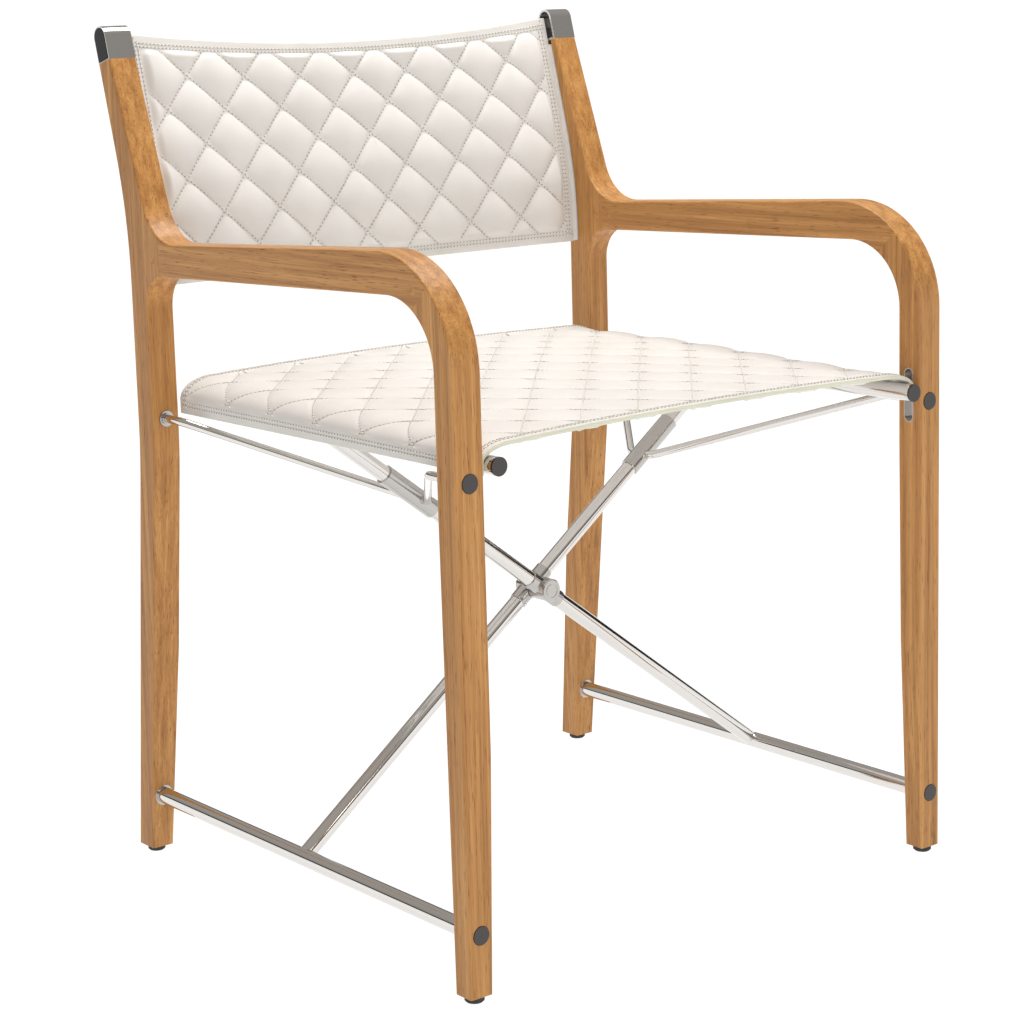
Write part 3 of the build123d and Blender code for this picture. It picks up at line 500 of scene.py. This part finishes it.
def even_steps(points, normals, pitch):
    """Places a pitch apart along a line of points: position, direction and normal at each."""
    step = np.linalg.norm(np.diff(points, axis=0), axis=1)
    travelled = np.concatenate([[0], np.cumsum(step)])
    if travelled[-1] < 2 * pitch:
        return np.empty((0, 3)), np.empty((0, 3)), np.empty((0, 3))
    stops = np.arange(pitch / 2, travelled[-1], pitch)
    where = np.stack([np.interp(stops, travelled, points[:, k]) for k in range(3)], -1)
    up = np.stack([np.interp(stops, travelled, normals[:, k]) for k in range(3)], -1)
    ahead = np.gradient(where, axis=0)
    ahead /= np.linalg.norm(ahead, axis=1)[:, None]
    up -= ahead * (up * ahead).sum(1)[:, None]
    up /= np.linalg.norm(up, axis=1)[:, None]
    return where, ahead, up


def sewn(name, lines, finish, shape, offset):
    """One mesh of small shapes set along lines, each turned to its line and surface."""
    places = [even_steps(points, normals, stitch_pitch) for points, normals in lines]
    where = np.concatenate([p[0] for p in places])
    ahead = np.concatenate([p[1] for p in places])
    up = np.concatenate([p[2] for p in places])
    where = where + ahead * offset + up * stitch_lift
    aside = np.cross(up, ahead)
    corners, shape_faces = np.array(shape[0]), shape[1]
    points = (
        where[:, None, :]
        + corners[None, :, 0, None] * ahead[:, None, :]
        + corners[None, :, 1, None] * aside[:, None, :]
        + corners[None, :, 2, None] * up[:, None, :]
    )
    faces = []
    for i in range(len(where)):
        faces += [tuple(k + i * len(corners) for k in face) for face in shape_faces]
    mesh = bpy.data.meshes.new(name)
    mesh.from_pydata(points.reshape(-1, 3).tolist(), [], faces)
    mesh.materials.append(finish)
    mesh.update()
    piece = bpy.data.objects.new(name, mesh)
    bpy.context.collection.objects.link(piece)
    return piece


def ringed(sides, rings):
    """A closed shape: rings of corners joined side to side, with a face over each end."""
    points = [corner for ring in rings for corner in ring]
    faces = [tuple(range(sides - 1, -1, -1))]
    for ring in range(len(rings) - 1):
        for k in range(sides):
            here, beside = ring * sides + k, ring * sides + (k + 1) % sides
            faces.append((here, beside, beside + sides, here + sides))
    faces.append(tuple((len(rings) - 1) * sides + k for k in range(sides)))
    return points, faces


def corner_angles(sides):
    """The angles of a regular shape's corners."""
    return [2 * math.pi * k / sides for k in range(sides)]


# One stitch is a short five-sided strand, thick in the middle and dipping at its ends.
strand_sides = 5
strand = ringed(
    strand_sides,
    [
        [
            (
                along * stitch_length,
                math.cos(angle) * stitch_radius * width,
                (math.sin(angle) * width + lift) * stitch_radius,
            )
            for angle in corner_angles(strand_sides)
        ]
        for along, width, lift in (
            (-0.5, 0.35, -0.6),
            (-0.22, 1.0, 0.25),
            (0.22, 1.0, 0.25),
            (0.5, 0.35, -0.6),
        )
    ],
)

# The painted shade at one needle hole is a small six-sided button, nearly flush with the leather.
needle_shade_sides = 6
needle_shade_button = ringed(
    needle_shade_sides,
    [
        [
            (
                math.cos(angle) * needle_shade_radius * width,
                math.sin(angle) * needle_shade_radius * width,
                lift * needle_shade_radius,
            )
            for angle in corner_angles(needle_shade_sides)
        ]
        for width, lift in ((1.0, -0.5), (0.8, 0.25))
    ],
)


def quilt_routes(diamond, phase, u_range, v_range, surface):
    """The quilting lines that cross a panel, as lines of points on its surface."""
    routes = []
    u = np.linspace(u_range[0], u_range[1], 420)
    for family in (-1, 1):
        values = [
            v / diamond[1] + family * w / diamond[0] + phase for v in v_range for w in u_range
        ]
        for whole in range(math.ceil(min(values)), math.floor(max(values)) + 1):
            v = (whole - phase - family * u / diamond[0]) * diamond[1]
            inside = (v > v_range[0]) & (v < v_range[1])
            if inside.sum() > 4:
                routes.append(surface(u[inside], v[inside]))
    return routes


def on_seat(s, y):
    """Points and normals of the finished seat."""
    return seat_skin(s, y, seat_puff)


quilt_reach = seat_reach - side_hem_width - 0.001
routes = quilt_routes(
    seat_diamond,
    seat_phase,
    (-quilt_reach, quilt_reach),
    (front_y + end_hem_width, rear_y - end_hem_width),
    on_seat,
)
for inset in hem_rows:
    y = np.linspace(front_y + row_ends, rear_y - row_ends, 300)
    for hand in (-1, 1):
        routes.append(on_seat(np.full_like(y, hand * (seat_reach - inset)), y))
    s = np.linspace(-seat_reach + row_ends, seat_reach - row_ends, 400)
    for end_y in (front_y + inset, rear_y - inset):
        routes.append(on_seat(s, np.full_like(s, end_y)))
seat_stitches = sewn("seat_stitches", routes, thread, strand, 0.0)
seat_needle_shades = sewn("seat_needle_hole_shades", routes, needle_hole_shade, needle_shade_button, stitch_pitch / 2)
for piece in (seat, seat_stitches, seat_needle_shades):
    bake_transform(piece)

# ---- Back ----
# A second quilted panel of the same leather between the posts, with a plain hem round it and a
# rod sewn into a pocket along each side that sits in the groove of the post.

rod_low, rod_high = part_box("left_back_rod")
rod_radius = (rod_high[0] - rod_low[0]) / 2
post_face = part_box("right_rear_post")[0][0]
groove_depth = 0.003  # from the post's face to the rod's centre
back_half = post_face - 0.0004  # just clear of the posts
back_bottom, back_top = (corner[2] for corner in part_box("back_leather"))
back_diamond = (0.0653, 0.0664)
back_shear = 0.134
back_centre = (0.0089, 0.690)
front_puff, rear_puff = 0.0066, 0.0022
leather_half = 0.0016  # half the thickness where it is stitched flat
side_hem = 0.012
top_hem = 0.011
back_hem_ramp = 0.006
upright_y = rod_low[1] + rod_radius
lean_z = 0.626  # where the posts start to lean
lean = (rod_high[1] - rod_radius - upright_y) / (rod_high[2] - lean_z)
lean_blend = 0.045
top_dip = 0.016  # the top edge hangs this far in the middle
back_bow = 0.006  # and the panel sags this far back


def back_skin(x, h, puff, face):
    """Points and normals of the back's front (face -1) or rear (face 1) skin.

    h is the height in the panel before its top edge is drawn down in the middle."""
    share = 1 - (x / back_half) ** 2
    rise_share = np.clip((h - back_bottom) / (back_top - back_bottom), 0, 1)
    z = h - top_dip * share * rise_share**3
    over = z - lean_z
    bent = lean * 0.5 * (over + np.sqrt(over**2 + lean_blend**2))
    slope = lean * 0.5 * (1 + over / np.sqrt(over**2 + lean_blend**2))
    y = upright_y + bent + back_bow * share
    normal = np.stack([np.zeros_like(x), face * np.ones_like(x), -face * slope], -1)
    normal /= np.linalg.norm(normal, axis=-1)[..., None]
    sheared = x + back_shear * (h - back_centre[1]) - back_centre[0]
    a, b = diamond_lines(sheared, h - back_centre[1], back_diamond, 0)
    side_fade = np.clip((back_half - np.abs(x) - side_hem) / back_hem_ramp, 0, 1)
    end_fade = np.clip((back_top - h - top_hem) / back_hem_ramp, 0, 1)
    end_fade = end_fade * np.clip((h - back_bottom - top_hem) / back_hem_ramp, 0, 1)
    pad = puff * puffed(a, b) * side_fade * end_fade
    points = np.stack([x, y, z], -1) + normal * (leather_half + pad)[..., None]
    return points, normal


wide = np.linspace(-back_half, back_half, 301)
high = np.linspace(back_bottom, back_top, 141)
grid_x, grid_h = np.meshgrid(wide, high, indexing="ij")
front_skin = back_skin(grid_x, grid_h, front_puff, -1)[0]
rear_skin = back_skin(grid_x, grid_h, rear_puff, 1)[0]
back, skin_faces = closed_sheet("back_sling", front_skin, rear_skin)
back.data.materials.append(white_leather)
back.data.materials.append(cut_edge)
for face in list(back.data.polygons)[skin_faces:]:
    face.material_index = 1
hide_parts("back_leather")

# Each side of the back is sewn round a steel rod, and that pocket lies in the post's groove.
pocket_sides = 20
pocket_outer, pocket_inner = 0.0054, 0.0032
pocket_h = np.linspace(back_bottom + 0.0005, rod_high[2], 40)
for side, hand in (("left", -1), ("right", 1)):
    side_x = np.full_like(pocket_h, hand * back_half)
    front_line, pocket_normal = back_skin(side_x, pocket_h, 0, -1)
    rear_line = back_skin(side_x, pocket_h, 0, 1)[0]
    centre = (front_line + rear_line) / 2
    centre[:, 0] = hand * (post_face + groove_depth)
    pocket_points = []
    for radius in (pocket_outer, pocket_inner):
        for k in range(pocket_sides):
            angle = 2 * math.pi * k / pocket_sides
            pocket_points.append(
                centre
                + np.array([radius * math.cos(angle), 0, 0])
                + pocket_normal * radius * math.sin(angle)
            )
    pocket_points = np.stack(pocket_points, 1).reshape(-1, 3)
    pocket_faces = []
    around = 2 * pocket_sides
    for ring in range(len(pocket_h) - 1):
        for wall in (0, 1):
            first = ring * around + wall * pocket_sides
            for k in range(pocket_sides):
                here, beside = first + k, first + (k + 1) % pocket_sides
                pocket_faces.append((here, beside, beside + around, here + around))
    for ring in (0, len(pocket_h) - 1):
        for k in range(pocket_sides):
            here, beside = ring * around + k, ring * around + (k + 1) % pocket_sides
            pocket_faces.append((here, beside, beside + pocket_sides, here + pocket_sides))
    pocket = finished_piece(f"{side}_back_pocket", pocket_points, pocket_faces)
    pocket.data.materials.append(white_leather)
    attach(pocket, f"{side}_frame")

# ---- Back stitching ----
# The same thread along the back's quilting lines, and two rows round its hem.


def on_back_front(x, h):
    """Points and normals of the finished front of the back."""
    return back_skin(x, h, front_puff, -1)


def on_back_rear(x, h):
    """Points and normals of the finished rear of the back."""
    return back_skin(x, h, rear_puff, 1)


def sheared_back(surface):
    """The same surface, reached from the quilt's own upright grid."""

    def placed(u, v):
        h = v + back_centre[1]
        x = u + back_centre[0] - back_shear * (h - back_centre[1])
        keep = np.abs(x) < back_half - side_hem
        return surface(x[keep], h[keep])

    return placed


back_hem_rows = (0.0065, 0.0100)
back_pieces = [back]
for label, surface in (("front", on_back_front), ("rear", on_back_rear)):
    routes = quilt_routes(
        back_diamond,
        0,
        (-back_half - 0.03, back_half + 0.03),
        (back_bottom + top_hem - back_centre[1], back_top - top_hem - back_centre[1]),
        sheared_back(surface),
    )
    for inset in back_hem_rows:
        h = np.linspace(back_bottom + row_ends, back_top - row_ends, 200)
        for hand in (-1, 1):
            routes.append(surface(np.full_like(h, hand * (back_half - inset)), h))
        x = np.linspace(-back_half + row_ends, back_half - row_ends, 400)
        for edge_h in (back_bottom + inset, back_top - inset):
            routes.append(surface(x, np.full_like(x, edge_h)))
    routes = [route for route in routes if len(route[0]) > 4]
    back_pieces.append(sewn(f"back_{label}_stitches", routes, thread, strand, 0.0))
    # Painted shade at each needle hole, as on the seat.
    back_pieces.append(
        sewn(f"back_{label}_needle_hole_shades", routes, needle_hole_shade, needle_shade_button, stitch_pitch / 2)
    )
for piece in back_pieces:
    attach(piece, "left_frame")
    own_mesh(piece)

# ---- Studio ----
# A plain white floor that turns up into a low rim far away, a soft warm grey room whose walls are
# dark above the rim, a large softbox overhead, one in front, and a camera at arm height.

bpy.ops.object.select_all(action="DESELECT")
bpy.ops.mesh.primitive_circle_add(
    vertices=96, radius=30, fill_type="NGON", location=(0, 0, -0.0005)
)
floor = bpy.context.object
floor.name = "floor"
bpy.ops.object.mode_set(mode="EDIT")
bpy.ops.mesh.select_all(action="SELECT")
bpy.ops.mesh.extrude_edges_move(TRANSFORM_OT_translate={"value": (0, 0, 4)})
bpy.ops.object.mode_set(mode="OBJECT")
bpy.ops.object.transform_apply(location=True, rotation=False, scale=False)
floor_white = bpy.data.materials.new("floor_white")
floor_white.use_nodes = True
floor_shader = floor_white.node_tree.nodes["Principled BSDF"]
floor_shader.inputs["Base Color"].default_value = (0.10, 0.10, 0.10, 1)
floor_shader.inputs["Roughness"].default_value = 0.9
floor_shader.inputs["Emission Color"].default_value = (1, 1, 1, 1)
floor_shader.inputs["Emission Strength"].default_value = 1.0
floor.data.materials.append(floor_white)

world = bpy.data.worlds.new("studio")
world.use_nodes = True
bpy.context.scene.world = world
tree = world.node_tree
direction = tree.nodes.new("ShaderNodeTexCoord")
height = tree.nodes.new("ShaderNodeSeparateXYZ")
walls = tree.nodes.new("ShaderNodeValToRGB")
walls.color_ramp.elements[0].position = 0.12
walls.color_ramp.elements[0].color = (0.02, 0.019, 0.018, 1)
walls.color_ramp.elements[1].position = 1.0
walls.color_ramp.elements[1].color = (0.42, 0.405, 0.385, 1)
walls.color_ramp.elements.new(0.22).color = (0.03, 0.028, 0.026, 1)
walls.color_ramp.elements.new(0.34).color = (0.36, 0.345, 0.325, 1)
tree.links.new(direction.outputs["Generated"], height.inputs["Vector"])
tree.links.new(height.outputs["Z"], walls.inputs["Fac"])
tree.links.new(walls.outputs["Color"], tree.nodes["Background"].inputs["Color"])
bpy.context.scene.view_settings.view_transform = "Standard"


def softbox(name, place, aim, size, power, colour):
    """A square area light at place, turned towards aim."""
    light = bpy.data.lights.new(name, "AREA")
    light.shape = "SQUARE"
    light.size = size
    light.energy = power
    light.color = colour
    holder = bpy.data.objects.new(name, light)
    bpy.context.collection.objects.link(holder)
    holder.location = place
    holder.rotation_euler = (Vector(aim) - Vector(place)).to_track_quat("-Z", "Y").to_euler()


softbox("top_light", (0.5, 0.1, 2.8), (0, 0, 0.5), 1.3, 60, (1, 0.99, 0.98))
softbox("front_light", (-0.7, -2.1, 0.8), (0, 0, 0.4), 0.9, 9, (1, 0.98, 0.95))

camera_yaw = math.radians(36.9)
camera_pitch = math.radians(10.0)
camera_roll = math.radians(-1.9)
camera_data = bpy.data.cameras.new("camera")
camera_data.lens = 87.15
camera_data.sensor_width = 36
camera_data.shift_x = 0.086
camera_data.shift_y = -0.073
camera_data.clip_end = 200
camera = bpy.data.objects.new("camera", camera_data)
bpy.context.collection.objects.link(camera)
camera.matrix_world = (
    Matrix.Translation((-1.4592, -1.7916, 0.8168))
    @ Matrix.Rotation(-camera_yaw, 4, "Z")
    @ Matrix.Rotation(math.pi / 2 - camera_pitch, 4, "X")
    @ Matrix.Rotation(camera_roll, 4, "Z")
)
bpy.context.scene.camera = camera
